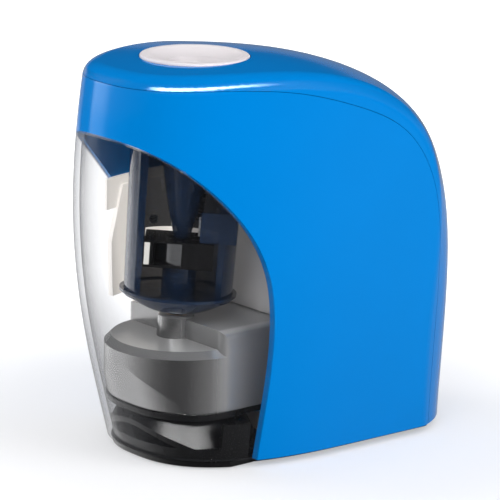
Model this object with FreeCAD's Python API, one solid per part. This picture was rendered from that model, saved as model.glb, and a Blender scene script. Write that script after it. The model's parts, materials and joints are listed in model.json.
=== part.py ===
"""Battery pencil sharpener with a clear shavings drawer.

Millimetres. +Z is up, the drawer opens towards -Y, and the origin is the middle of the footprint.
The cutter mechanism is modelled upright about its own spindle and then leaned back by LEAN degrees.
"""
import FreeCAD, Part
import math
import os
from FreeCAD import Rotation, Vector
from BOPTools import SplitAPI

# ---------------------------------------------------------------- driving dimensions
HEIGHT = 115.0            # floor to the rim of the pencil inlet
HALF_LENGTH = 61.0        # front bulge and back are both this far from the middle
SKIRT = 2.2               # lower edge of the blue shells above the floor
WALL = 2.2                # blue shells
GLASS = 1.8               # clear drawer front
SEAM = 0.14               # gap between the fixed shells
DRAWER_GAP = 0.4          # gap round the drawer window
EDGE_ROUND = 5.0          # rounding along the crown
LEAN = 4.0                # the spindle leans back by this many degrees
INLET_Y = -26.5           # middle of the pencil inlet on the crown
DECK_Z = 34.0             # top of the gear housing round the post
PENCIL_BORE = 4.1         # radius of the pencil guide
RUN = 0.08                # radial clearance of a running fit
DRAWER_FLOOR = 2.6        # underside of the drawer above the floor
AA_RADIUS, AA_LENGTH = 7.1, 49.0
WALL_Y = -10.0            # front face of the partition behind the cutter
GEAR_PLATE_Z = 14.2       # underside of the gearbox
HOUSING_R, HOUSING_Y = 22.0, -30.0    # drum of the gearbox
BLOCK_Z, STEP_Y = 39.5, -32.5         # stepped block behind the drum
POST_R, POST_TOP = 5.3, 6.2           # bearing post, its top above the deck along the spindle
GUIDE_R, GUIDE_W0 = 6.0, 60.0         # pencil guide and its lower end along the spindle
PAD_R, PAD_TOP = 4.5, 1.2
LEVER_Y = -27.6           # middle of the start lever
PIVOT_X, PIVOT_Z = -7.8, 104.0

# Outline of the body, hand set: (height, value) pairs joined by smooth curves.
FRONT_Y = [(-6, -45.2), (30, -55.2), (62, -60.7), (88, -60.6), (122, -55.8)]
HALF_WIDTH = [(-6, 32.1), (40, 33.4), (80, 33.6), (122, 33.1)]
PLAN_POWER = 2.6          # roundness of the front in plan
PLAN_Y = 9.6              # where the rounded front becomes straight sides
# Crown line in side view from front to back, with the radius of the arch across it.
CROWN = [(-80, 113.7, 400), (INLET_Y, HEIGHT - 0.1, 320), (6, 113.0, 130), (26, 107.1, 80),
         (44.3, 95.6, 50), (56.2, 75.2, 40), (HALF_LENGTH, 42.0, 35.5), (59, -8.0, 34.6)]
# Seam between the side shells and the top cover in side view, and the edge of the drawer window.
SEAM_LINE = [(-90, 109.3), (-43, 110.0), (-16, 107.8), (6.5, 101.6), (25, 92.4), (34.6, 80),
             (39.0, 64), (40.2, 36), (39.6, -6)]
WINDOW_LINE = [(-75, 100.5), (-53.5, 91.5), (-40.1, 80.5), (-29.7, 68.4), (-23.7, 55.8), (-21.7, 38),
               (-23.4, 16), (-25.0, -6)]


# ---------------------------------------------------------------- small helpers
def spline(points):
    """Smooth curve through the points."""
    curve = Part.BSplineCurve()
    curve.interpolate(points)
    return curve


def profile_value(pairs, z):
    """Value at height z on the smooth curve through (height, value) pairs."""
    curve = spline([Vector(height, value, 0) for height, value in pairs])
    low, high = curve.FirstParameter, curve.LastParameter
    for _ in range(40):
        middle = (low + high) / 2
        if curve.value(middle).x < z:
            low = middle
        else:
            high = middle
    return curve.value(low).y


def box(x0, x1, y0, y1, z0, z1):
    return Part.makeBox(x1 - x0, y1 - y0, z1 - z0, Vector(x0, y0, z0))


def tube(outer, inner, z0, z1, x=0.0, y=0.0):
    """Upright cylinder, hollow if inner is more than 0."""
    shape = Part.makeCylinder(outer, z1 - z0, Vector(x, y, z0))
    if inner > 0:
        shape = shape.cut(Part.makeCylinder(inner, z1 - z0 + 2, Vector(x, y, z0 - 1)))
    return shape


def cone(r0, r1, z0, z1, x=0.0, y=0.0):
    return Part.makeCone(r0, r1, z1 - z0, Vector(x, y, z0))


def joined(shapes):
    """One solid from overlapping shapes."""
    result = shapes[0]
    for shape in shapes[1:]:
        result = result.fuse(shape)
    return result.removeSplitter()


def leaned(shape):
    """Shape built on the upright spindle line, put in place in the leaning mechanism."""
    placed = shape.copy()
    placed.rotate(Vector(0, 0, 0), Vector(1, 0, 0), -LEAN)
    lean = math.radians(LEAN)
    foot_y = INLET_Y - (HEIGHT - DECK_Z) * math.tan(lean)
    placed.translate(Vector(0, foot_y, DECK_Z))
    return placed


def save(name, shape):
    solids = shape.Solids
    shape = solids[0] if len(solids) == 1 else Part.makeCompound(solids)
    if not shape.isValid() or not solids:
        print("NOT VALID:", name)
    shape.exportStep("parts/%s.step" % name)
    print("%-20s %2d solids %9.0f mm3" % (name, len(solids), shape.Volume))


# ---------------------------------------------------------------- body envelope
def plan_section(z, inset):
    """Horizontal outline: superellipse front, straight sides, far back cut off later."""
    half = profile_value(HALF_WIDTH, z) - inset
    front = profile_value(FRONT_Y, z) + inset
    depth = PLAN_Y - front
    steps = 12
    points = []
    for i in range(-steps, steps + 1):
        angle = math.pi / 2 * i / steps
        across = abs(math.sin(angle)) ** (2 / PLAN_POWER)
        along = abs(math.cos(angle)) ** (2 / PLAN_POWER)
        points.append(Vector(half * math.copysign(across, angle), PLAN_Y - depth * along, z))
    far = 95.0
    corner_l, corner_r = Vector(-half, far, z), Vector(half, far, z)
    return Part.Wire([spline(points).toShape(), Part.makeLine(points[-1], corner_r),
                      Part.makeLine(corner_r, corner_l), Part.makeLine(corner_l, points[0])])


def crown_skin(inset):
    """Open surface over the crown and down the back, arched across."""
    crown = spline([Vector(0, y, z) for y, z, _ in CROWN])
    places = [crown.parameter(Vector(0, y, z)) for y, z, _ in CROWN]
    flatness = [(place, 1000 / radius) for place, (_, _, radius) in zip(places, CROWN)]
    stations, half, ribs = 22, 36.0, 12
    rows = []
    for i in range(stations + 1):
        place = crown.FirstParameter + (crown.LastParameter - crown.FirstParameter) * i / stations
        along = crown.tangent(place)[0]
        outward = Vector(0, -along.z, along.y)
        radius = max(1000 / profile_value(flatness, place) - inset, 34.6)
        row = []
        for j in range(-ribs, ribs + 1):
            x = half * j / ribs
            drop = radius - math.sqrt(max(radius ** 2 - min(abs(x), 34.3) ** 2, 0))
            row.append(crown.value(place) - outward * (inset + drop) + Vector(x, 0, 0))
        rows.append(row)
    surface = Part.BSplineSurface()
    surface.interpolate(rows)
    return surface.toShape()


def envelope(inset, rounding):
    """Whole body filled solid, its faces moved in by inset."""
    heights = (-6, 25, 50, 75, 98, 122)
    block = Part.makeLoft([plan_section(z, inset) for z in heights], True, False)
    pieces = SplitAPI.slice(block, [crown_skin(inset)], "Split", 1e-4).Solids
    body = [piece for piece in pieces if piece.isInside(Vector(0, 0, 50), 0.01, True)][0]
    crown_edges = []
    for edge in body.Edges:
        middle = edge.valueAt((edge.FirstParameter + edge.LastParameter) / 2)
        side_seam = abs(middle.y - PLAN_Y) < 0.1
        if middle.z > 0 and not side_seam:
            crown_edges.append(edge)
    return body.makeFillet(rounding, crown_edges)


def side_line(points, shift):
    """Side-view curve through (y, z) points, moved sideways by shift (positive to its left)."""
    curve = spline([Vector(0, y, z) for y, z in points])
    if shift == 0:
        return curve
    moved = []
    count = 24
    for i in range(count + 1):
        u = curve.FirstParameter + (curve.LastParameter - curve.FirstParameter) * i / count
        along = curve.tangent(u)[0]
        moved.append(curve.value(u) + Vector(0, -along.z, along.y) * shift)
    return spline(moved)


def side_region(points, shift, closing):
    """Prism across the whole width, bounded by a side-view curve and the closing corners."""
    curve = side_line(points, shift)
    start, end = curve.StartPoint, curve.EndPoint
    corners = [end] + [Vector(0, y, z) for y, z in closing] + [start]
    edges = [curve.toShape()]
    for a, b in zip(corners, corners[1:]):
        edges.append(Part.makeLine(a, b))
    face = Part.Face(Part.Wire(edges))
    face.translate(Vector(-60, 0, 0))
    return face.extrude(Vector(120, 0, 0))


def under_seam(shift):
    return side_region(SEAM_LINE, -shift, [(-90, -6)])


def over_seam(shift):
    return side_region(SEAM_LINE, shift, [(120, -6), (120, 140), (-90, 140)])


def before_window(shift):
    return side_region(WINDOW_LINE, -shift, [(-75, -6)])


def behind_window(shift):
    return side_region(WINDOW_LINE, shift, [(120, -6), (120, 140), (-75, 140)])


def slab(fill, x, y0, y1, z0, z1):
    """Part of a filled envelope inside a box of half width x."""
    return fill.common(box(-x, x, y0, y1, z0, z1))


# ---------------------------------------------------------------- shells
SCREW_SPOTS = [(x, y) for x in (-24.5, 24.5) for y in (4.0, 20.0)]
SCREW_R = 1.2
PAD_SPOTS = [(-15.0, -35.0), (15.0, -35.0), (-17.0, 45.0), (17.0, 45.0)]


def main_housing(outer, shell):
    """Both blue sides with the bridge over the drawer, and four bosses for the base screws."""
    body = shell.common(under_seam(SEAM / 2)).common(behind_window(DRAWER_GAP / 2))
    body = body.common(box(-60, 60, -80, 80, SKIRT, 130))
    inside = outer.common(under_seam(1.5))
    for x, y in SCREW_SPOTS:
        side = math.copysign(1, x)
        boss = tube(3.0, 0, 3.2, 16, x, y)
        web_x = sorted((x, side * 33))
        web = box(web_x[0], web_x[1], y - 0.7, y + 0.7, 3.2, 16)
        body = body.fuse(boss.fuse(web).common(inside))
    for x, y in SCREW_SPOTS:
        body = body.cut(tube(SCREW_R, 0, 0, 14, x, y))
    return body


DOOR_HALF, DOOR_Z0, DOOR_Z1 = 23.0, 8.0, 66.0


def door_block(gap):
    """Prism that cuts the battery door out of the back of the cover."""
    block = box(-DOOR_HALF - gap, DOOR_HALF + gap, 30, 90, DOOR_Z0 - gap, DOOR_Z1 + gap)
    upright = [edge for edge in block.Edges if edge.BoundBox.YLength > 50]
    return block.makeFillet(4 + gap, upright)


def top_cover(outer, shell):
    """Blue spine over the crown and down the back, with the seat of the pencil inlet."""
    body = shell.common(over_seam(SEAM / 2)).common(box(-60, 60, -80, 80, SKIRT, 130))
    seat = tube(17.6, 0, 109.9, 116, 0, INLET_Y).common(outer)
    body = body.fuse(seat)
    body = body.cut(tube(12.6, 0, 100, 120, 0, INLET_Y))
    body = body.cut(tube(15.8, 0, 111.5, 120, 0, INLET_Y))
    return body.cut(door_block(0.3))


def battery_door(shell):
    """Curved panel in the back with a finger rib and two locating tongues."""
    panel = shell.common(door_block(0))
    ribs = []
    for i in range(4):
        z = 54 + 2.6 * i
        ribs.append(box(-8, 8, 59.2, 61.0, z, z + 1.1))
    inner_side = [box(x - 3, x + 3, 52.0, 57.5, DOOR_Z0 + 2, DOOR_Z0 + 4) for x in (-10, 10)]
    panel = panel.fuse(joined(inner_side))
    groove = joined(ribs)
    return panel.cut(groove)


def inlet_ring():
    """White dished inlet with a leaning guide tube that the cutter carrier turns on."""
    rim_edge = 15.6
    disc = tube(rim_edge, 0, 111.6, HEIGHT, 0, INLET_Y)
    top = [edge for edge in disc.Edges if abs(edge.BoundBox.ZMin - HEIGHT) < 0.01
           and abs(edge.BoundBox.ZMax - HEIGHT) < 0.01]
    disc = disc.makeFillet(0.7, top)
    hub = cone(8.5, 12.4, 106, 111.7, 0, INLET_Y)
    guide = leaned(tube(GUIDE_R, 0, GUIDE_W0, 75))
    body = joined([disc, hub, guide])
    dish = cone(8.6, 13.6, 112.9, HEIGHT + 0.02, 0, INLET_Y)
    throat = leaned(cone(PENCIL_BORE, 9.2, 72.5, 80.6))
    bore = leaned(tube(PENCIL_BORE, 0, 50, 80))
    slot = box(-8.0, -2.0, LEVER_Y - 1.3, LEVER_Y + 1.3, 98.4, 101.6)
    return body.cut(dish).cut(throat).cut(bore).cut(slot)


def base_plate():
    """Black underside: rear floor inside the shells, front foot under the drawer, gearbox posts."""
    fill = envelope(WALL + 0.3, 2.5)
    foot_fill = envelope(1.0, 4.0)
    body = slab(fill, 60, -24.0, 80, 1.0, 3.0)
    body = body.fuse(slab(foot_fill, 25.0, -80, -23.0, 0.4, 2.0))
    posts = [tube(3.2, 0, 2.9, GEAR_PLATE_Z, x, y) for x in (-14.5, 14.5) for y in (-3.0, 19.0)]
    body = joined([body] + posts)
    for x, y in SCREW_SPOTS:
        body = body.cut(tube(1.5, 0, 0, 4, x, y)).cut(tube(2.7, 0, 0, 2.0, x, y))
    for x, y in PAD_SPOTS:
        body = body.cut(tube(PAD_R, 0, -1, PAD_TOP, x, y))
    return body


def foot_pads():
    return Part.makeCompound([tube(PAD_R, 0, 0, PAD_TOP, x, y) for x, y in PAD_SPOTS])


def pan_screw(length, radius, head):
    """Screw pointing up with a slotted head below, its head's top at the origin."""
    body = tube(radius, 0, 0, length).fuse(tube(head, 0, -1.1, 0))
    slot = box(-head, head, -0.3, 0.3, -1.2, -0.7)
    return body.removeSplitter().cut(slot)


def base_screws():
    screws = []
    for x, y in SCREW_SPOTS:
        screw = pan_screw(11.0, SCREW_R, 2.4)
        screw.translate(Vector(x, y, 2.0))
        screws.append(screw)
    return Part.makeCompound(screws)


def left_prism(outline):
    """Prism over the left half with a side-view outline of (y, z) corners."""
    corners = [Vector(-60, y, z) for y, z in outline]
    return Part.Face(Part.makePolygon(corners + corners[:1])).extrude(Vector(60, 0, 0))


def chamber_wall():
    """Pale partition behind the cutter, with a forward flange and tab along the left side."""
    fill = envelope(WALL + 0.3, 2.5)
    body = slab(fill, 60, WALL_Y, WALL_Y + 1.6, 3.2, 104)
    body = body.common(under_seam(2.5))
    body = body.cut(box(-22.6, 22.6, -20, 0, GEAR_PLATE_Z - 0.3, 39.9))
    body = body.cut(box(22.6, 25.4, -20, 0, 7.6, 10.4))
    back = WALL_Y + 0.8
    panel = left_prism([(-37, 41), (-37, 57), (-31.6, 73), (back, 73), (back, 41)])
    panel = panel.fuse(left_prism([(-26, 15), (-26, 42), (back, 42), (back, 15)]))
    tab = left_prism([(-38.4, 66.5), (-38.4, 75.6), (back, 75.6), (back, 66.5)])
    flange = fill.cut(envelope(WALL + 2.1, 1.2)).common(panel)
    thin = fill.cut(envelope(WALL + 1.3, 1.6)).common(tab)
    return joined([body, flange, thin])


# ---------------------------------------------------------------- drawer
TRAY_RIM_Y, TRAY_RIM_Z = -26.0, 13.0
TAIL_HALF = 25.4          # half width of the tray behind the window's edge


def drawer_window(outer):
    body = outer.cut(envelope(GLASS, EDGE_ROUND - GLASS)).common(before_window(DRAWER_GAP / 2))
    return body.common(box(-60, 60, -80, 80, DRAWER_FLOOR, 130))


def drawer_tray():
    """Black foot of the clear front: low rim, floor, skirt sloping up under the gearbox, side blocks."""
    fill = envelope(GLASS + 0.05, 3.0)
    core = envelope(GLASS + 1.4, 2.0)
    rim = slab(fill.cut(core), 60, -80, TRAY_RIM_Y, DRAWER_FLOOR, 5.6)
    floor = slab(fill, 28.0, -80, -26.0, 3.4, 4.8)
    tail = slab(envelope(WALL + 0.6, 2.5), TAIL_HALF, -26.5, WALL_Y - 1.1, 3.4, 4.8)
    finger = box(22.0, TAIL_HALF, WALL_Y - 2.6, WALL_Y - 1.1, 3.4, 11.0)
    skirt = cone(22.2, 17.8, 4.0, TRAY_RIM_Z, 0, HOUSING_Y)
    skirt = skirt.cut(cone(20.8, 16.4, 4.0, TRAY_RIM_Z, 0, HOUSING_Y))
    skirt = skirt.common(slab(fill, 60, -80, WALL_Y - 1.1, 3.4, TRAY_RIM_Z))
    block = box(23.2, 60, -33.5, TRAY_RIM_Y, 3.4, TRAY_RIM_Z).common(fill)
    ribs = [box(25.0, 60, y, y + 1.0, 4.0, TRAY_RIM_Z + 1.2).common(fill) for y in (-36.6, -34.8)]
    side = joined([block] + ribs)
    return rim.fuse([floor, tail, skirt, finger, side, side.mirror(Vector(0, 0, 0), Vector(1, 0, 0))])


# ---------------------------------------------------------------- gearbox
BUSH_R, SPINDLE_R = 3.2, 2.0
MODULE = 0.8
SPINDLE_TEETH, IDLER_SMALL, IDLER_LARGE, PINION_TEETH = 34, 12, 39, 12
IDLER_Y = MODULE * (SPINDLE_TEETH + IDLER_SMALL) / 2
MOTOR_Y = IDLER_Y + MODULE * (IDLER_LARGE + PINION_TEETH) / 2
UPPER_GEARS = (-8.6, -4.8)
LOWER_GEARS = (-13.6, -10.2)
MOTOR_R, MOTOR_W0, MOTOR_LENGTH = 12.0, -2.6, 30.0


def gear_housing():
    """Grey case: drum with a chamfered deck, stepped block behind it and the bearing post."""
    drum = tube(HOUSING_R, 0, 16, 32, 0, HOUSING_Y).fuse(cone(HOUSING_R, 20.0, 32, DECK_Z, 0, HOUSING_Y))
    block = box(-HOUSING_R, HOUSING_R, STEP_Y, -8.2, 16, BLOCK_Z)
    corners = [edge for edge in block.Edges if edge.BoundBox.ZLength > 20 and edge.BoundBox.YMax < -30]
    rim = [edge for edge in block.Edges if edge.BoundBox.ZMin > BLOCK_Z - 0.1
           and edge.BoundBox.YLength > 10]
    block = block.makeFillet(2.5, corners + rim)
    rear = box(-18, 18, -9, 24, 16, 26.2)
    post_edge = POST_TOP - 0.5
    post = leaned(joined([tube(POST_R, 0, -4, post_edge), cone(POST_R, POST_R - 0.5, post_edge, POST_TOP)]))
    idler_boss = leaned(tube(7.1, 0, -10, -3.2, 0, IDLER_Y))
    body = joined([drum, block, rear]).common(envelope(GLASS + 1.0, 2.5)).fuse(post).fuse(idler_boss)
    drum_hollow = tube(20.2, 0, 10, 31.6, 0, HOUSING_Y).common(envelope(GLASS + 2.6, 2.5))
    hollow = joined([drum_hollow, box(-20.0, 20.0, -30, -9.6, 10, 37.6),
                     box(-16.4, 16.4, -12, 22.4, 10, 24.6), leaned(tube(6.0, 0, -10, -4.3, 0, IDLER_Y))])
    body = body.cut(hollow)
    body = body.fuse(leaned(tube(POST_R, 0, -4, 2)))
    body = body.cut(leaned(tube(BUSH_R, 0, -10, 20)))
    return body.cut(leaned(tube(3.4, 0, -12, 8, 0, MOTOR_Y)))


def gear_plate():
    """Black closing plate under the gearbox, its lip standing out round the drum."""
    drum = tube(HOUSING_R + 0.7, 0, GEAR_PLATE_Z, 16, 0, HOUSING_Y)
    middle = box(-HOUSING_R, HOUSING_R, HOUSING_Y, -8.2, GEAR_PLATE_Z, 16)
    rear = box(-18, 18, -9, 24, GEAR_PLATE_Z, 16)
    return joined([drum, middle, rear]).common(envelope(GLASS + 0.5, 2.5)).cut(idler_pin())


def idler_pin():
    return leaned(tube(1.5, 0, -17.4, -3.6, 0, IDLER_Y))


def spur_gear(teeth, width, phase, bore):
    """Involute spur gear about the origin, thinned a little for backlash."""
    pitch = MODULE * teeth / 2
    base = pitch * math.cos(math.radians(20))
    tip = pitch + 0.86 * MODULE
    root = pitch - 1.25 * MODULE
    half = math.pi / (2 * teeth) - 0.16 / pitch

    def roll(radius):
        return math.sqrt(max((radius / base) ** 2 - 1, 0)) - math.acos(min(base / radius, 1))

    radii = [root] + [max(base, root) + (tip - max(base, root)) * i / 4 for i in range(5)]
    points = []
    for i in range(teeth):
        centre = math.radians(phase) + 2 * math.pi * i / teeth
        flank = [(radius, half + roll(pitch) - roll(max(radius, base))) for radius in radii]
        for radius, angle in flank:
            points.append(Vector(radius * math.cos(centre - angle), radius * math.sin(centre - angle), 0))
        for radius, angle in reversed(flank):
            points.append(Vector(radius * math.cos(centre + angle), radius * math.sin(centre + angle), 0))
    wire = Part.makePolygon(points + [points[0]])
    gear = Part.Face(wire).extrude(Vector(0, 0, width))
    return gear.cut(tube(bore, 0, -1, width + 1))


def placed_gear(teeth, levels, y, phase, bore):
    gear = spur_gear(teeth, levels[1] - levels[0], phase, bore)
    gear.translate(Vector(0, y, levels[0]))
    return gear


def idler_gear():
    small = placed_gear(IDLER_SMALL, UPPER_GEARS, IDLER_Y, -90 + 180 / IDLER_SMALL, 1.5 + RUN)
    large = placed_gear(IDLER_LARGE, LOWER_GEARS, IDLER_Y, 90, 1.5 + RUN)
    neck = tube(3.2, 1.5 + RUN, LOWER_GEARS[1], UPPER_GEARS[0], 0, IDLER_Y)
    return leaned(joined([small, neck, large]))


def spindle_gear():
    disc = placed_gear(SPINDLE_TEETH, UPPER_GEARS, 0, 90, SPINDLE_R)
    for i in range(5):
        angle = math.radians(72 * i + 18)
        disc = disc.cut(tube(2.6, 0, -10, 0, 7.8 * math.cos(angle), 7.8 * math.sin(angle)))
    return leaned(disc)


def motor_can():
    top = MOTOR_W0 + MOTOR_LENGTH
    body = tube(MOTOR_R, 0, MOTOR_W0, top, 0, MOTOR_Y)
    body = body.cut(tube(MOTOR_R - 3.0, 0, MOTOR_W0 + 1.2, top + 1, 0, MOTOR_Y))
    return leaned(body.cut(tube(1.5, 0, MOTOR_W0 - 1, top, 0, MOTOR_Y)))


def motor_end_cap():
    top = MOTOR_W0 + MOTOR_LENGTH
    cap = tube(MOTOR_R - 3.0, 1.0 + RUN, top - 2.0, top, 0, MOTOR_Y)
    boss = tube(4.0, 1.0 + RUN, top, top + 1.6, 0, MOTOR_Y)
    tags = [box(x - 0.3, x + 0.3, MOTOR_Y - 1.2, MOTOR_Y + 1.2, top - 0.5, top + 3.5) for x in (-6, 6)]
    return leaned(joined([cap, boss] + tags))


def motor_armature():
    top = MOTOR_W0 + MOTOR_LENGTH
    core = tube(7.6, 1.0, MOTOR_W0 + 5, top - 8, 0, MOTOR_Y)
    for i in range(3):
        angle = math.radians(120 * i)
        core = core.cut(tube(1.6, 0, 0, 40, 7.6 * math.cos(angle), MOTOR_Y + 7.6 * math.sin(angle)))
    commutator = tube(2.6, 1.0, top - 8, top - 4, 0, MOTOR_Y)
    return leaned(joined([core, commutator]))


def motor_shaft():
    return leaned(tube(1.0, 0, LOWER_GEARS[0], MOTOR_W0 + MOTOR_LENGTH + 1.2, 0, MOTOR_Y))


def motor_pinion():
    return leaned(placed_gear(PINION_TEETH, LOWER_GEARS, MOTOR_Y, -90 + 180 / PINION_TEETH, 1.0))


def motor_bush():
    return leaned(tube(1.5, 1.0 + RUN, MOTOR_W0 - 0.5, MOTOR_W0 + 3.0, 0, MOTOR_Y))


# ---------------------------------------------------------------- cutter
DISC_R, DISC_TOP = 16.8, 13.3
PILLAR_TURN = 50.0        # pillars stand at this angle from +X, and opposite it
BAND_W0, BAND_W1 = 20.8, 28.4
PLUNGER_R = 2.4
SPRING_W0, SPRING_W1 = 14.9, 19.5
CUP_R = 4.3               # bore of the cup round the spring
GUARD_X, GUARD_Y = 5.2, -9.8
SLEEVE_R = 7.4
BLOCK_LEFT, BLOCK_RIGHT, BLOCK_DEPTH = 10.4, 9.3, 8.4
KEY_X = -8.7              # the block's side slot runs outwards from here
BLADE_TURN = PILLAR_TURN + 160.0
BLADE_TILT = 9.8


def turned(shape, degrees):
    """Local mechanism shape turned about the spindle."""
    copy = shape.copy()
    copy.rotate(Vector(0, 0, 0), Vector(0, 0, 1), degrees)
    return copy


def sector(outer, inner, w0, w1, half_angle):
    """Part of a ring centred on the local +X direction."""
    ring = tube(outer, inner, w0, w1)
    reach = 60.0
    spread = reach * math.tan(math.radians(half_angle))
    wedge = Part.makePolygon([Vector(0, 0, w0 - 1), Vector(reach, -spread, w0 - 1),
                              Vector(reach, spread, w0 - 1), Vector(0, 0, w0 - 1)])
    return ring.common(Part.Face(wedge).extrude(Vector(0, 0, w1 - w0 + 2)))


def carrier_pillar(tie_x):
    """One pillar on the local +X side: outer face flaring upwards, a lip inside, a tie from tie_x."""
    shell = cone(15.5, 16.6, 11.4, 61.0).cut(tube(13.5, 0, 10, 62))
    pillar = shell.common(sector(20, 0, 11.4, 61.0, 38))
    lip = sector(15.4, 11.8, 11.6, 61.0, 6)
    tie = box(tie_x, 14.2, -3.0, 3.0, BAND_W0 + 1.0, BAND_W1 - 1.0)
    return joined([pillar, lip, tie])


def carrier_bowl():
    """Shallow bowl under the cutter, from the hub out to a thin rim."""
    outline = [(4.0, 6.8), (8.5, 7.9), (13.2, 10.2), (DISC_R, 12.5)]
    curve = spline([Vector(r, 0, w) for r, w in outline]).toShape()
    rim, top, foot = Vector(DISC_R, 0, DISC_TOP), Vector(0, 0, DISC_TOP), Vector(0, 0, 6.8)
    section = Part.Wire([curve, Part.makeLine(Vector(DISC_R, 0, 12.5), rim), Part.makeLine(rim, top),
                         Part.makeLine(top, foot), Part.makeLine(foot, Vector(4.0, 0, 6.8))])
    bowl = Part.Face(section).revolve(Vector(0, 0, 0), Vector(0, 0, 1), 360)
    return bowl.cut(cone(7.0, 15.9, 9.8, DISC_TOP + 0.01))


def cutter_carrier():
    """Smoke frame: bowl on a hub, two curved pillars and the wall behind them."""
    walls = [sector(14.6, 13.5, w0, w1, 53) for w0, w1 in ((11.6, BAND_W0), (BAND_W1 + 0.4, 61.0))]
    right = turned(carrier_pillar(BLOCK_RIGHT), PILLAR_TURN)
    left = turned(carrier_pillar(BLOCK_LEFT), PILLAR_TURN + 180)
    body = joined([carrier_bowl(), right, left] + [turned(wall, PILLAR_TURN + 90) for wall in walls])
    body = body.fuse(tube(CUP_R + 0.6, 0, 9.0, SPRING_W0))
    body = body.fuse(tube(CUP_R + 0.6, CUP_R, SPRING_W0 - 0.5, BAND_W0 - 0.3))
    return leaned(body.cut(tube(SPINDLE_R, 0, 0, 30)).cut(tube(PLUNGER_R + RUN, 0, 11.5, 30)))


def carrier_collar():
    """Ring that ties the pillar tops and runs on the guide tube."""
    ring = tube(16.4, GUIDE_R + RUN, 61.0, 63.0)
    for i in range(6):
        angle = math.radians(60 * i)
        ring = ring.cut(tube(2.4, 0, 60, 64, 11 * math.cos(angle), 11 * math.sin(angle)))
    return leaned(ring)


def guard_pin():
    return tube(0.45, 0, 31.0, 36.4, GUARD_X - 0.1, GUARD_Y)


def carrier_screws():
    """Small screw on the inside of the carrier's rear wall, and the pin at the shield's edge."""
    x = -8.8
    head = tube(1.3, 0, 0, 0.9).cut(box(-2, 2, -0.25, 0.25, 0.5, 2))
    head.rotate(Vector(0, 0, 0), Vector(1, 0, 0), 90)
    head.rotate(Vector(0, 0, 0), Vector(0, 0, 1), -math.degrees(math.asin(x / 13.5)))
    head.translate(Vector(x, math.sqrt(13.5 ** 2 - x ** 2) - 0.15, 31.2))
    return Part.makeCompound([leaned(turned(piece, PILLAR_TURN)) for piece in (head, guard_pin())])


def chip_guard():
    """Flat smoke shield standing off one pillar."""
    plate = box(GUARD_X, 15.6, GUARD_Y - 0.6, GUARD_Y + 0.6, 29.2, 37.8)
    upright = [edge for edge in plate.Edges if edge.BoundBox.YLength > 1]
    plate = plate.makeFillet(0.4, upright)
    plate = plate.cut(carrier_pillar(BLOCK_RIGHT)).cut(guard_pin())
    return leaned(turned(plate, PILLAR_TURN))


def on_cone(shape):
    """Shape built on the local XZ plane, laid on the cone's flat."""
    shape.rotate(Vector(0, 0, 0), Vector(1, 0, 0), BLADE_TILT)
    shape.translate(Vector(0, -3.5, 33.0))
    return turned(shape, BLADE_TURN)


def sharpener_cone():
    """Smoke flare with the tapered bore that steers the pencil onto the blade."""
    outline = [(2.2, BAND_W1), (4.2, 36.0), (5.8, 43.4), (7.05, 51.0), (8.0, 57.0)]
    flare = spline([Vector(r, 0, w) for r, w in outline]).toShape()
    foot, rim = Vector(0, 0, BAND_W1), Vector(0, 0, 57.0)
    section = Part.Wire([flare, Part.makeLine(Vector(8.0, 0, 57.0), rim), Part.makeLine(rim, foot),
                         Part.makeLine(foot, Vector(2.2, 0, BAND_W1))])
    body = Part.Face(section).revolve(Vector(0, 0, 0), Vector(0, 0, 1), 360)
    body = body.cut(on_cone(box(-20, 20, -30, 0, -6, 40)))
    fins = [turned(box(6.0, 11.8, -1.2, 1.2, 52.0, 56.0), PILLAR_TURN + turn) for turn in (0, 180)]
    body = joined([body] + fins)
    bore = cone(1.1, 4.3, 28.0, 44.0).fuse(tube(4.3, 0, 43.9, 60))
    return leaned(body.cut(bore))


def cutter_blade():
    """Steel blade lying on the cone's flat."""
    blade = box(-4.6, 4.6, -1.2, 0, 0, 22.0)
    edge = [e for e in blade.Edges if e.BoundBox.ZLength > 20 and e.BoundBox.YMin < -1.1]
    return leaned(on_cone(blade.makeChamfer(0.9, edge)))


def blade_screws():
    screws = []
    for w in (6.5, 15.5):
        head = tube(1.7, 0, 0, 1.0).cut(box(-2, 2, -0.25, 0.25, 0.5, 2))
        head.rotate(Vector(0, 0, 0), Vector(1, 0, 0), 90)
        head.translate(Vector(0, -1.2, w))
        screws.append(leaned(on_cone(head)))
    return Part.makeCompound(screws)


def blade_clamp():
    """Black block under the cone: a slot at one side, then a window on the steel sleeve."""
    block = box(-BLOCK_LEFT, BLOCK_RIGHT, -BLOCK_DEPTH, BLOCK_DEPTH, BAND_W0, BAND_W1)
    low, high = BAND_W0 + 0.7, BAND_W1 - 0.5
    block = block.cut(tube(SLEEVE_R + 0.05, 0, BAND_W0 - 1, high))
    block = block.cut(box(-20, KEY_X, -20, 20, low, high))
    block = block.cut(box(-7.9, 0.4, -20, 0, low, high))
    return leaned(turned(block.cut(tube(3.4, 0, 20, 40)), PILLAR_TURN))


def clamp_key():
    """Ivory key in the block's side slot."""
    key = box(-BLOCK_LEFT + 0.2, KEY_X, -BLOCK_DEPTH + 0.1, 6.0, BAND_W0 + 0.7, BAND_W1 - 0.5)
    return leaned(turned(key, PILLAR_TURN))


def tip_sleeve():
    """Steel sleeve round the point of the pencil."""
    return leaned(tube(SLEEVE_R, 6.2, BAND_W0 - 0.2, BAND_W1 - 0.6))


def tip_plunger():
    """Pin that the finished pencil point presses down."""
    return leaned(joined([tube(PLUNGER_R, 0, 13.3, 24.0), tube(CUP_R - 0.2, 0, SPRING_W1, SPRING_W1 + 0.9)]))


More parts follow.
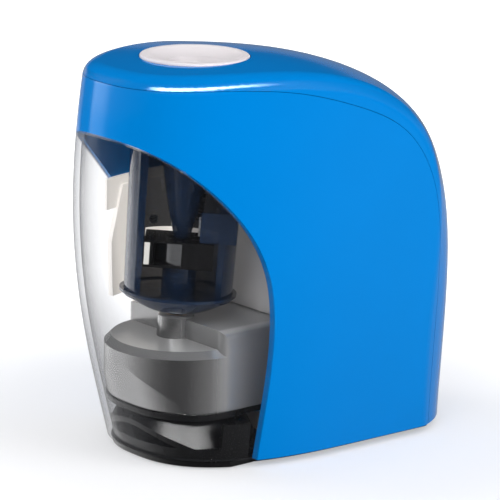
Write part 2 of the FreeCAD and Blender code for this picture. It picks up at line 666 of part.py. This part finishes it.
def tip_spring():
    """Coil spring under the plunger's collar, each half turn a tilted half ring."""
    half_turns, wire, radius = 7, 0.35, 3.6
    bottom = SPRING_W0 + wire + 0.02
    rise = (SPRING_W1 - wire - 0.02 - bottom) / half_turns
    tilt = math.degrees(math.asin(rise / (2 * radius)))
    halves = []
    for i in range(half_turns):
        half = Part.makeTorus(radius, wire, Vector(0, 0, 0), Vector(0, 0, 1), 0, 360, 180)
        half.rotate(Vector(0, 0, 0), Vector(0, 1, 0), tilt)
        half.rotate(Vector(0, 0, 0), Vector(0, 0, 1), 180 * i)
        half.translate(Vector(0, 0, bottom + rise * (i + 0.5)))
        halves.append(half)
    return leaned(joined(halves))


def spindle():
    return leaned(tube(SPINDLE_R, 0, UPPER_GEARS[0] - 0.4, 11.4))


def spindle_bushing():
    return leaned(tube(BUSH_R, SPINDLE_R + RUN, -4, POST_TOP))


# ---------------------------------------------------------------- power and switches
CELL_Z = [13.0 + 15.4 * i for i in range(4)]
CELL_Y = 34.6
TAG_Y, TAG_Z = 8.7, 62.8  # tips of the motor's tags


def aa_cell(z, flip):
    """One AA cell lying across the body with its button end to one side."""
    can = Part.makeCylinder(AA_RADIUS, AA_LENGTH, Vector(-AA_LENGTH / 2, CELL_Y, z), Vector(1, 0, 0))
    button = Part.makeCylinder(2.7, 1.4, Vector(AA_LENGTH / 2 - 0.1, CELL_Y, z), Vector(1, 0, 0))
    cell = can.fuse(button).removeSplitter()
    if flip:
        cell.rotate(Vector(0, CELL_Y, z), Vector(0, 0, 1), 180)
    return cell


def battery_box():
    """Open-backed holder for four cells lying one above another."""
    low, high = CELL_Z[0] - 8.2, CELL_Z[-1] + 8.6
    body = box(-28.0, 28.0, CELL_Y - 9.2, CELL_Y + 5.5, low, high)
    body = body.cut(box(-27.0, 27.0, CELL_Y - 7.6, CELL_Y + 20, low + 1.0, high - 1.0))
    shelves = [box(-12, 12, CELL_Y - 8, CELL_Y - 1, z + 7.35, z + 8.05) for z in CELL_Z[:-1]]
    return joined([body] + shelves)


def contact_plates():
    """Nickel tags at the button ends."""
    plates = []
    for i, z in enumerate(CELL_Z):
        side = -1 if i % 2 else 1
        x = sorted((side * 26.05, side * 26.45))
        plates.append(box(x[0], x[1], CELL_Y - 5, CELL_Y + 5, z - 5, z + 5))
    return Part.makeCompound(plates)


def contact_springs():
    """Conical springs at the flat ends."""
    springs = []
    for i, z in enumerate(CELL_Z):
        side = 1 if i % 2 else -1
        coils = [Part.makeTorus(3.6 - 0.7 * k, 0.3) for k in range(3)]
        for k, coil in enumerate(coils):
            coil.rotate(Vector(0, 0, 0), Vector(0, 1, 0), 90)
            coil.translate(Vector(side * (26.6 - 0.55 * k - 0.1), CELL_Y, z))
        springs.append(joined(coils))
    return Part.makeCompound([solid for spring in springs for solid in spring.Solids])


def drawer_switch():
    """Safety switch body on the partition's foot."""
    return box(20.5, 27.5, -8.2, -2.2, 6.0, 12.0).cut(box(22.9, 25.1, -9, -3.2, 7.9, 10.1))


def switch_plunger():
    """Button that the closed drawer pushes in."""
    return box(23.0, 25.0, -10.8, -4.6, 8.0, 10.0)


def start_switch():
    """Micro switch beside the pencil guide, with two ears for the lever's pivot."""
    body = box(-18.0, -10.2, LEVER_Y - 2.4, LEVER_Y + 2.4, 98.8, 105.6)
    for y in (LEVER_Y - 3.3, LEVER_Y + 2.3):
        body = body.fuse(box(-14.0, -6.6, y, y + 1.0, 102.4, 105.6))
    pin = Part.makeCylinder(0.8 + 0.05, 10, Vector(PIVOT_X, LEVER_Y - 5, PIVOT_Z), Vector(0, 1, 0))
    return body.removeSplitter().cut(pin)


def switch_bracket():
    """Block that hangs the start switch from the inlet's seat."""
    return box(-18.0, -13.0, LEVER_Y - 2.4, LEVER_Y + 2.4, 105.6, 109.9)


def start_lever():
    """Trigger that the pencil pushes aside, its nose in a slot of the guide tube."""
    arm = box(PIVOT_X - 0.6, PIVOT_X + 0.6, LEVER_Y - 0.9, LEVER_Y + 0.9, 98.6, PIVOT_Z)
    nose = box(PIVOT_X, -4.5, LEVER_Y - 0.9, LEVER_Y + 0.9, 99.0, 100.8)
    eye = Part.makeCylinder(1.3, 3.6, Vector(PIVOT_X, LEVER_Y - 1.8, PIVOT_Z), Vector(0, 1, 0))
    pin = Part.makeCylinder(0.8, 6.6, Vector(PIVOT_X, LEVER_Y - 3.3, PIVOT_Z), Vector(0, 1, 0))
    return joined([arm, nose, eye, pin])


def motor_bracket():
    """Cup on the gearbox that holds the foot of the motor."""
    cup = tube(13.0, 3.4, -9.0, 5.0, 0, MOTOR_Y).cut(tube(MOTOR_R, 0, MOTOR_W0, 60, 0, MOTOR_Y))
    return leaned(cup).cut(box(-30, 30, -40, 40, 0, 26.2)).cut(box(-30, 30, -40, -8.2, 0, 60))


def lead(side):
    """Insulated wire from the battery holder to a motor tag."""
    path = spline([Vector(side * 6, TAG_Y, TAG_Z), Vector(side * 8, 11.5, 67.0), Vector(side * 14, 19, 66.5),
                   Vector(side * 18, 24.5, 61.0)])
    start = path.value(path.FirstParameter)
    ring = Part.Wire(Part.makeCircle(0.65, start, path.tangent(path.FirstParameter)[0]))
    return Part.Wire(path.toShape()).makePipeShell([ring], True, True)


def save_all():
    outer = envelope(0, EDGE_ROUND)
    shell = outer.cut(envelope(WALL, EDGE_ROUND - WALL))
    save("main_housing", main_housing(outer, shell))
    save("top_cover", top_cover(outer, shell))
    save("battery_door", battery_door(shell))
    save("drawer_window", drawer_window(outer))
    for build in (inlet_ring, base_plate, foot_pads, base_screws, chamber_wall, drawer_tray,
                  gear_housing, gear_plate, idler_pin, idler_gear, spindle_gear, spindle,
                  spindle_bushing, motor_can, motor_end_cap, motor_bush, motor_armature,
                  motor_shaft, motor_pinion, cutter_carrier, carrier_collar, carrier_screws,
                  chip_guard, sharpener_cone, cutter_blade, blade_screws, blade_clamp,
                  clamp_key, tip_sleeve, tip_plunger, tip_spring,
                  battery_box, contact_plates, contact_springs, drawer_switch, switch_plunger,
                  start_switch, switch_bracket, start_lever, motor_bracket):
        save(build.__name__, build())
    save("positive_lead", lead(1))
    save("negative_lead", lead(-1))
    for i, z in enumerate(CELL_Z):
        save("aa_cell_%d" % (i + 1), aa_cell(z, i % 2 == 1))


if __name__ == "__main__":
    os.makedirs("parts", exist_ok=True)
    save_all()
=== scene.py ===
"""Looks of the battery pencil sharpener: materials, floor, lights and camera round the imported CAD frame."""
import json
import math

import bpy
from mathutils import Matrix, Vector


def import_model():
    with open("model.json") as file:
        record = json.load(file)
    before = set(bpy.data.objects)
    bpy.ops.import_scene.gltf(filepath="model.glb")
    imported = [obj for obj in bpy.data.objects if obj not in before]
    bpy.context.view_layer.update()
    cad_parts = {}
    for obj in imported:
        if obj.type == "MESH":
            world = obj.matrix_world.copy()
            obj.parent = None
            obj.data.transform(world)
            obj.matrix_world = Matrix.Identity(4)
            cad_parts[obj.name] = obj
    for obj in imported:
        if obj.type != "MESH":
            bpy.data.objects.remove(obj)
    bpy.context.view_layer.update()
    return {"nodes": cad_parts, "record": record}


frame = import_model()
MM = 0.001

# ---------------------------------------------------------------- camera
CAMERA_AZIMUTH, CAMERA_ELEVATION = 50.0, 14.0
CAMERA_ROLL = 1.2
CAMERA_DISTANCE = 0.936
CAMERA_TARGET = Vector((0.0, -4.7, 54.9)) * MM
CAMERA_LENS = 232.2


# ---------------------------------------------------------------- node helpers
def new_material(name):
    material = bpy.data.materials.new(name)
    material.use_nodes = True
    tree = material.node_tree
    tree.nodes.clear()
    output = tree.nodes.new("ShaderNodeOutputMaterial")
    shader = tree.nodes.new("ShaderNodeBsdfPrincipled")
    tree.links.new(shader.outputs["BSDF"], output.inputs["Surface"])
    return material, tree, shader


def noise(tree, scale, detail=2.0):
    """Noise over the object's own coordinates, which are metres in the row frame."""
    place = tree.nodes.new("ShaderNodeTexCoord")
    node = tree.nodes.new("ShaderNodeTexNoise")
    node.inputs["Scale"].default_value = scale
    node.inputs["Detail"].default_value = detail
    tree.links.new(place.outputs["Object"], node.inputs["Vector"])
    return node


def ramp(tree, source, stops):
    """Colour ramp with (place, colour) stops."""
    node = tree.nodes.new("ShaderNodeValToRGB")
    elements = node.color_ramp.elements
    while len(elements) < len(stops):
        elements.new(0.5)
    for element, (place, colour) in zip(elements, stops):
        element.position = place
        element.color = (*colour, 1.0)
    tree.links.new(source, node.inputs["Fac"])
    return node.outputs["Color"]


def map_range(tree, source, low, high):
    node = tree.nodes.new("ShaderNodeMapRange")
    node.inputs["From Min"].default_value = 0.3
    node.inputs["From Max"].default_value = 0.7
    node.inputs["To Min"].default_value = low
    node.inputs["To Max"].default_value = high
    tree.links.new(source, node.inputs["Value"])
    return node.outputs["Result"]


def bump(tree, shader, source, strength, distance):
    node = tree.nodes.new("ShaderNodeBump")
    node.inputs["Strength"].default_value = strength
    node.inputs["Distance"].default_value = distance
    tree.links.new(source, node.inputs["Height"])
    tree.links.new(node.outputs["Normal"], shader.inputs["Normal"])


def shade(colour, factor):
    return tuple(min(channel * factor, 1.0) for channel in colour)


def moulded(name, colour, rough, spread=0.03, grain=2200.0, strength=0.03, tone=0.04, specular=0.5):
    """Moulded plastic or plain metal: slow drift in tone, fine grain in roughness and surface."""
    material, tree, shader = new_material(name)
    drift = noise(tree, 35.0)
    stops = [(0.35, shade(colour, 1 - tone)), (0.65, shade(colour, 1 + tone))]
    tree.links.new(ramp(tree, drift.outputs["Fac"], stops), shader.inputs["Base Color"])
    fine = noise(tree, grain, 4.0)
    roughness = map_range(tree, fine.outputs["Fac"], rough - spread, rough + spread)
    tree.links.new(roughness, shader.inputs["Roughness"])
    bump(tree, shader, fine.outputs["Fac"], strength, 0.0002)
    shader.inputs["Specular IOR Level"].default_value = specular
    return material


def upward(tree):
    """How far a face looks up: 0 on an upright wall, 1 on a level top."""
    place = tree.nodes.new("ShaderNodeTexCoord")
    split = tree.nodes.new("ShaderNodeSeparateXYZ")
    tree.links.new(place.outputs["Normal"], split.inputs["Vector"])
    return split.outputs["Z"]


# ---------------------------------------------------------------- materials
WHITE, BLACK = (1.0, 1.0, 1.0), (0.0, 0.0, 0.0)
JACKET_COPPER, JACKET_BLACK = (0.5, 0.27, 0.1), (0.02, 0.02, 0.022)
FLANGE_DARK_X, FLANGE_LIT_X = -21 * MM, -25 * MM
BLOCK_FRONT_Y, BLOCK_FADE = -33.5 * MM, 2.5 * MM
RIM_WHITE = (0.66, 0.625, 0.645)
INLET_Y = -26.5 * MM
INLET_RADIUS = 15.8 * MM
THROAT_REACH = 1 / INLET_RADIUS
# the deck grey is painted light: lighter than the drum grey, as if lit from above
DRUM_GREY, DECK_GREY_PAINTED_LIGHT = (0.29, 0.29, 0.293), (0.42, 0.42, 0.42)
CROWN_COAT = [(0.12, BLACK), (0.2, WHITE), (0.55, WHITE), (0.65, BLACK)]


def blue_shell():
    """Glossy blue with a blue sheen, and a white one along the rounding of the crown."""
    material = moulded("blue_shell", (0.0, 0.16, 0.48), 0.11, 0.01, 900.0, 0.002, 0.01, specular=0.4)
    tree = material.node_tree
    shader = tree.nodes["Principled BSDF"]
    shader.inputs["Specular Tint"].default_value = (0.0, 0.45, 1.0, 1.0)
    tree.links.new(ramp(tree, upward(tree), CROWN_COAT), shader.inputs["Coat Weight"])
    shader.inputs["Coat Roughness"].default_value = 0.16
    return material


def inlet_white():
    """White of the inlet, with painted shade: greyer down in the throat, where little light reaches."""
    material = moulded("inlet_white", RIM_WHITE, 0.35, 0.04, 1800.0, 0.006, 0.02, specular=0.3)
    tree = material.node_tree
    place = tree.nodes.new("ShaderNodeTexCoord")
    flat = tree.nodes.new("ShaderNodeVectorMath")
    flat.operation = "MULTIPLY_ADD"
    flat.inputs[1].default_value = (THROAT_REACH, THROAT_REACH, 0.0)
    flat.inputs[2].default_value = (0.0, -INLET_Y * THROAT_REACH, 0.0)
    tree.links.new(place.outputs["Object"], flat.inputs[0])
    away = tree.nodes.new("ShaderNodeVectorMath")
    away.operation = "LENGTH"
    tree.links.new(flat.outputs["Vector"], away.inputs[0])
    # painted shade: the base colour darkens towards the inlet's centre, down in the throat
    stops = [(0.3, shade(RIM_WHITE, 0.62)), (0.5, shade(RIM_WHITE, 0.85)), (0.85, RIM_WHITE)]
    shader = tree.nodes["Principled BSDF"]
    tree.links.new(ramp(tree, away.outputs["Value"], stops), shader.inputs["Base Color"])
    return material


def pale_plastic():
    """Pale partition with painted light: its thin flange along the left side glows, as if light shone through
    it.
    """
    material = moulded("pale_plastic", (0.55, 0.54, 0.54), 0.4, 0.05, 2000.0, 0.01, 0.03)
    tree = material.node_tree
    shader = tree.nodes["Principled BSDF"]
    place = tree.nodes.new("ShaderNodeTexCoord")
    split = tree.nodes.new("ShaderNodeSeparateXYZ")
    tree.links.new(place.outputs["Object"], split.inputs["Vector"])
    # painted light: emission rises along X to a warm glow on the left flange
    lit = tree.nodes.new("ShaderNodeMapRange")
    lit.inputs["From Min"].default_value = FLANGE_DARK_X
    lit.inputs["From Max"].default_value = FLANGE_LIT_X
    lit.inputs["To Max"].default_value = 0.55
    tree.links.new(split.outputs["X"], lit.inputs["Value"])
    tree.links.new(lit.outputs["Result"], shader.inputs["Emission Strength"])
    shader.inputs["Emission Color"].default_value = (1.0, 0.94, 0.86, 1.0)
    return material


def gearbox_grey():
    """Satin grey of the gearbox: metallic on the drum's wall, plainer on its deck and the block behind; level
    tops carry painted light, a lighter grey than the walls.
    """
    material = moulded("grey_plastic", DRUM_GREY, 0.2, 0.02, 2400.0, 0.004, 0.02)
    tree = material.node_tree
    shader = tree.nodes["Principled BSDF"]
    # painted light: faces that look up get the lighter deck grey, as if lit from above
    greys = ramp(tree, upward(tree), [(0.5, DRUM_GREY), (0.95, DECK_GREY_PAINTED_LIGHT)])
    tree.links.new(greys, shader.inputs["Base Color"])
    place = tree.nodes.new("ShaderNodeTexCoord")
    split = tree.nodes.new("ShaderNodeSeparateXYZ")
    tree.links.new(place.outputs["Object"], split.inputs["Vector"])
    block = tree.nodes.new("ShaderNodeMapRange")
    block.inputs["From Min"].default_value = BLOCK_FRONT_Y - BLOCK_FADE
    block.inputs["From Max"].default_value = BLOCK_FRONT_Y + BLOCK_FADE
    block.inputs["To Min"].default_value = 1.0
    block.inputs["To Max"].default_value = 0.45
    tree.links.new(split.outputs["Y"], block.inputs["Value"])
    share = tree.nodes.new("ShaderNodeMath")
    share.operation = "MULTIPLY"
    tree.links.new(block.outputs["Result"], share.inputs[0])
    walls = ramp(tree, upward(tree), [(0.5, (0.95, 0.95, 0.95)), (0.95, (0.15, 0.15, 0.15))])
    tree.links.new(walls, share.inputs[1])
    tree.links.new(share.outputs["Value"], shader.inputs["Metallic"])
    return material


def see_through(name, colour, rough, clear, edge, falloff, specular=0.5):
    """Clear or smoke plastic: open face on, more solid at a glancing angle."""
    material, tree, shader = new_material(name)
    drift = noise(tree, 30.0)
    stops = [(0.3, shade(colour, 0.97)), (0.7, shade(colour, 1.03))]
    tree.links.new(ramp(tree, drift.outputs["Fac"], stops), shader.inputs["Base Color"])
    fine = noise(tree, 400.0, 3.0)
    roughness = map_range(tree, fine.outputs["Fac"], rough * 0.8, rough * 1.2)
    tree.links.new(roughness, shader.inputs["Roughness"])
    facing = tree.nodes.new("ShaderNodeLayerWeight")
    facing.inputs["Blend"].default_value = 0.5
    steep = tree.nodes.new("ShaderNodeMath")
    steep.operation = "POWER"
    steep.inputs[1].default_value = falloff
    tree.links.new(facing.outputs["Facing"], steep.inputs[0])
    solid = tree.nodes.new("ShaderNodeMapRange")
    solid.inputs["To Min"].default_value = clear
    solid.inputs["To Max"].default_value = edge
    tree.links.new(steep.outputs["Value"], solid.inputs["Value"])
    tree.links.new(solid.outputs["Result"], shader.inputs["Alpha"])
    shader.inputs["Specular IOR Level"].default_value = specular
    return material


def turned_metal(name, colour, rough):
    """Turned or ground metal with fine lines across its height."""
    material, tree, shader = new_material(name)
    place = tree.nodes.new("ShaderNodeTexCoord")
    stretch = tree.nodes.new("ShaderNodeMapping")
    stretch.inputs["Scale"].default_value = (300.0, 300.0, 9000.0)
    lines = tree.nodes.new("ShaderNodeTexNoise")
    lines.inputs["Scale"].default_value = 1.0
    lines.inputs["Detail"].default_value = 3.0
    tree.links.new(place.outputs["Object"], stretch.inputs["Vector"])
    tree.links.new(stretch.outputs["Vector"], lines.inputs["Vector"])
    stops = [(0.3, shade(colour, 0.85)), (0.7, shade(colour, 1.1))]
    tree.links.new(ramp(tree, lines.outputs["Fac"], stops), shader.inputs["Base Color"])
    roughness = map_range(tree, lines.outputs["Fac"], rough * 0.7, rough * 1.3)
    tree.links.new(roughness, shader.inputs["Roughness"])
    bump(tree, shader, lines.outputs["Fac"], 0.05, 0.0001)
    shader.inputs["Metallic"].default_value = 1.0
    return material


def cell_jacket():
    """AA cell sleeve: black with a copper-coloured band at the button end."""
    material, tree, shader = new_material("cell_jacket")
    place = tree.nodes.new("ShaderNodeTexCoord")
    split = tree.nodes.new("ShaderNodeSeparateXYZ")
    tree.links.new(place.outputs["Generated"], split.inputs["Vector"])
    stops = [(0.0, JACKET_COPPER), (0.28, JACKET_COPPER), (0.3, JACKET_BLACK)]
    bands = ramp(tree, split.outputs["X"], stops)
    tree.links.new(bands, shader.inputs["Base Color"])
    fine = noise(tree, 800.0)
    tree.links.new(map_range(tree, fine.outputs["Fac"], 0.25, 0.35), shader.inputs["Roughness"])
    return material


LOOKS = {
    "blue_shell": blue_shell(),
    "inlet_white": inlet_white(),
    "black_plastic": moulded("black_plastic", (0.006, 0.006, 0.0065), 0.25, 0.04, 2000.0, 0.01, 0.15, 0.15),
    "pad_rubber": moulded("pad_rubber", (0.02, 0.02, 0.02), 0.75, 0.08, 2500.0, 0.2, 0.2),
    "screw_steel": turned_metal("screw_steel", (0.55, 0.56, 0.58), 0.3),
    "pale_plastic": pale_plastic(),
    "clear_window": see_through("clear_window", (0.09, 0.092, 0.1), 0.03, 0.02, 0.95, 3.0, 0.2),
    "smoke_plastic": see_through("smoke_plastic", (0.006, 0.018, 0.046), 0.07, 0.78, 0.99, 2.0, 0.5),
    "grey_plastic": gearbox_grey(),
    "gear_nylon": moulded("gear_nylon", (0.7, 0.69, 0.64), 0.4, 0.05, 1500.0, 0.04, 0.03),
    "gear_brass": turned_metal("gear_brass", (0.75, 0.55, 0.22), 0.25),
    "polished_steel": turned_metal("polished_steel", (0.5, 0.51, 0.53), 0.15),
    "blade_steel": turned_metal("blade_steel", (0.6, 0.61, 0.63), 0.22),
    "bronze_bush": turned_metal("bronze_bush", (0.5, 0.33, 0.16), 0.35),
    "motor_steel": turned_metal("motor_steel", (0.45, 0.45, 0.46), 0.3),
    "copper_winding": turned_metal("copper_winding", (0.65, 0.25, 0.1), 0.35),
    "cell_jacket": cell_jacket(),
    "contact_nickel": turned_metal("contact_nickel", (0.68, 0.65, 0.58), 0.25),
    "red_insulation": moulded("red_insulation", (0.45, 0.01, 0.01), 0.45, 0.05, 1500.0, 0.05, 0.05),
}


def dress_nodes():
    for part in frame["record"]["subparts"]:
        node = frame["nodes"][part["node"]]
        node.data.materials.clear()
        node.data.materials.append(LOOKS[part["material_slot"]])


# ---------------------------------------------------------------- stage
# the lower near glow is painted shade on the floor round the sharpener
FLOOR_GLOW_NEAR, FLOOR_GLOW_FAR = 0.43, 0.95
FLOOR_NEAR, FLOOR_FAR = 0.07, 0.2


def floor():
    """Pale floor with a share of its own light, so that the shadow stays soft and the far floor white; the
    glow is weaker near the sharpener, a painted shade round it.
    """
    bpy.ops.mesh.primitive_plane_add(size=6.0, location=(0, 0, 0))
    plane = bpy.context.active_object
    plane.name = "floor"
    material, tree, shader = new_material("floor_white")
    drift = noise(tree, 3.0)
    stops = [(0.3, (0.44, 0.44, 0.45)), (0.7, (0.46, 0.46, 0.47))]
    tree.links.new(ramp(tree, drift.outputs["Fac"], stops), shader.inputs["Base Color"])
    place = tree.nodes.new("ShaderNodeTexCoord")
    away = tree.nodes.new("ShaderNodeVectorMath")
    away.operation = "LENGTH"
    tree.links.new(place.outputs["Object"], away.inputs[0])
    # painted shade: the floor's glow is weaker near the sharpener and full further out
    glow = tree.nodes.new("ShaderNodeMapRange")
    glow.interpolation_type = "SMOOTHSTEP"
    glow.inputs["From Min"].default_value = FLOOR_NEAR
    glow.inputs["From Max"].default_value = FLOOR_FAR
    glow.inputs["To Min"].default_value = FLOOR_GLOW_NEAR
    glow.inputs["To Max"].default_value = FLOOR_GLOW_FAR
    tree.links.new(away.outputs["Value"], glow.inputs["Value"])
    tree.links.new(glow.outputs["Result"], shader.inputs["Emission Strength"])
    shader.inputs["Emission Color"].default_value = (0.97, 0.98, 1.0, 1.0)
    shader.inputs["Roughness"].default_value = 0.5
    shader.inputs["Specular IOR Level"].default_value = 0.0
    plane.data.materials.append(material)
    plane.visible_glossy = False


# Surroundings as a mirror-like surface sees them: (azimuth, brightness) round the horizon.
# Azimuth 0 is in front of the sharpener, 90 to its right.
# Upright walls mirror the low ring, and the blue front, which leans back, mirrors the middle one.
LOW_RING = [(-180, 0.3), (-150, 0.4), (-128, 0.45), (-112, 0.8), (-100, 1.5), (-92, 2.1), (-45, 1.5),
            (-13, 0.7), (13, 0.25), (38, 0.08), (62, 0.1), (87, 0.35), (113, 0.6), (128, 0.55), (150, 0.35),
            (180, 0.3)]
LOW_HEIGHT = [(-1.0, 1.0), (-0.2, 1.0), (-0.15, 0.0), (1.0, 0.0)]
MIDDLE_RING = [(-180, 0.1), (-130, 0.2), (-96, 0.4), (-88, 0.05), (-64, 0.05), (-61, 2.2), (-51, 2.2),
               (-47, 0.35), (-14, 0.2), (13, 0.15), (113, 0.4), (140, 0.1), (180, 0.1)]
MIDDLE_HEIGHT = [(-1.0, 0.0), (-0.2, 0.0), (-0.15, 1.0), (0.08, 1.0), (0.16, 0.05), (1.0, 0.05)]
RING_PEAK = 2.5
HIGH_PANEL_AZIMUTH = [(5, 0.0), (30, 1.0), (85, 1.0), (120, 0.0)]
HIGH_PANEL_HEIGHT = [(0.44, 0.0), (0.48, 1.0), (0.6, 1.0), (0.66, 0.0)]
HIGH_PANEL = 42.0
GENERAL_LIGHT = 0.62


def world():
    """White backdrop, soft general light, and a ring of light panels for mirrored rays."""
    scene_world = bpy.data.worlds.new("studio")
    bpy.context.scene.world = scene_world
    scene_world.use_nodes = True
    tree = scene_world.node_tree
    tree.nodes.clear()
    output = tree.nodes.new("ShaderNodeOutputWorld")
    path = tree.nodes.new("ShaderNodeLightPath")

    def background(strength):
        node = tree.nodes.new("ShaderNodeBackground")
        node.inputs["Color"].default_value = (1, 1, 1, 1)
        node.inputs["Strength"].default_value = strength
        return node

    def joined(kind, first, second, factor=None):
        node = tree.nodes.new(kind)
        tree.links.new(first.outputs[0], node.inputs[-2])
        tree.links.new(second.outputs[0], node.inputs[-1])
        if factor:
            tree.links.new(factor, node.inputs["Fac"])
        return node

    def greys(source, low, high, stops, peak=1.0):
        """Brightness along a value, from stops in its own units."""
        place = tree.nodes.new("ShaderNodeMapRange")
        place.inputs["From Min"].default_value = low
        place.inputs["From Max"].default_value = high
        tree.links.new(source, place.inputs["Value"])
        grey_stops = [((at - low) / (high - low), (value / peak,) * 3) for at, value in stops]
        return ramp(tree, place.outputs["Result"], grey_stops)

    def maths(operation, first, second):
        node = tree.nodes.new("ShaderNodeMath")
        node.operation = operation
        for socket, value in zip(node.inputs, (first, second)):
            if isinstance(value, float):
                socket.default_value = value
            else:
                tree.links.new(value, socket)
        return node.outputs["Value"]

    place = tree.nodes.new("ShaderNodeTexCoord")
    split = tree.nodes.new("ShaderNodeSeparateXYZ")
    tree.links.new(place.outputs["Generated"], split.inputs["Vector"])
    turn = maths("ARCTAN2", split.outputs["X"], maths("MULTIPLY", split.outputs["Y"], -1.0))
    azimuth = maths("MULTIPLY", turn, 180 / math.pi)

    def band(around, height, strength, peak=1.0):
        """Light that varies round the horizon and fades out above and below."""
        node = background(strength)
        across = greys(azimuth, -180, 180, around, peak)
        up = greys(split.outputs["Z"], -1, 1, height)
        tree.links.new(maths("MULTIPLY", across, up), node.inputs["Color"])
        return node

    low = band(LOW_RING, LOW_HEIGHT, RING_PEAK, RING_PEAK)
    middle = band(MIDDLE_RING, MIDDLE_HEIGHT, RING_PEAK, RING_PEAK)
    high = band(HIGH_PANEL_AZIMUTH, HIGH_PANEL_HEIGHT, HIGH_PANEL)
    panels = joined("ShaderNodeAddShader", joined("ShaderNodeAddShader", low, middle), high)
    seen = joined("ShaderNodeMixShader", background(GENERAL_LIGHT), panels, path.outputs["Is Glossy Ray"])
    shown = joined("ShaderNodeMixShader", seen, background(1.0), path.outputs["Is Camera Ray"])
    tree.links.new(shown.outputs["Shader"], output.inputs["Surface"])


def aimed(obj, target, roll=0.0):
    """Turn a light or camera at obj.location so that it looks at target."""
    direction = Vector(target) - obj.location
    turn = direction.to_track_quat("-Z", "Y").to_matrix().to_4x4()
    obj.matrix_world = Matrix.Translation(obj.location) @ turn @ Matrix.Rotation(math.radians(roll), 4, "Z")


def from_target(azimuth, elevation, distance, target=CAMERA_TARGET):
    """Point at an azimuth (0 is in front, 90 to the right) and elevation round the target."""
    a, e = math.radians(azimuth), math.radians(elevation)
    direction = Vector((math.sin(a) * math.cos(e), -math.cos(a) * math.cos(e), math.sin(e)))
    return Vector(target) + distance * direction


def softbox(name, azimuth, elevation, distance, width, height, power, roll=0.0):
    light = bpy.data.lights.new(name, "AREA")
    light.shape = "RECTANGLE"
    light.size, light.size_y = width, height
    light.energy = power
    lamp = bpy.data.objects.new(name, light)
    bpy.context.scene.collection.objects.link(lamp)
    lamp.location = from_target(azimuth, elevation, distance)
    aimed(lamp, CAMERA_TARGET, roll)
    return lamp


def lights():
    """Invisible in mirrors: they only give the soft shading."""
    lamps = [softbox("left_box", -60, 25, 0.9, 0.5, 0.7, 3.8),
             softbox("right_box", 115, 25, 0.9, 0.6, 0.8, 5.0),
             softbox("top_box", 60, 80, 0.9, 0.8, 0.6, 2.0),
             softbox("front_fill", 35, 30, 1.0, 0.6, 0.6, 2.8)]
    for lamp in lamps:
        lamp.visible_glossy = False


def camera():
    data = bpy.data.cameras.new("camera")
    data.lens = CAMERA_LENS
    data.sensor_width = 36.0
    data.clip_start = 0.01
    eye = bpy.data.objects.new("camera", data)
    bpy.context.scene.collection.objects.link(eye)
    eye.location = from_target(CAMERA_AZIMUTH, CAMERA_ELEVATION, CAMERA_DISTANCE)
    aimed(eye, CAMERA_TARGET, CAMERA_ROLL)
    bpy.context.scene.camera = eye


dress_nodes()
floor()
world()
lights()
camera()
bpy.context.scene.view_settings.view_transform = "Standard"
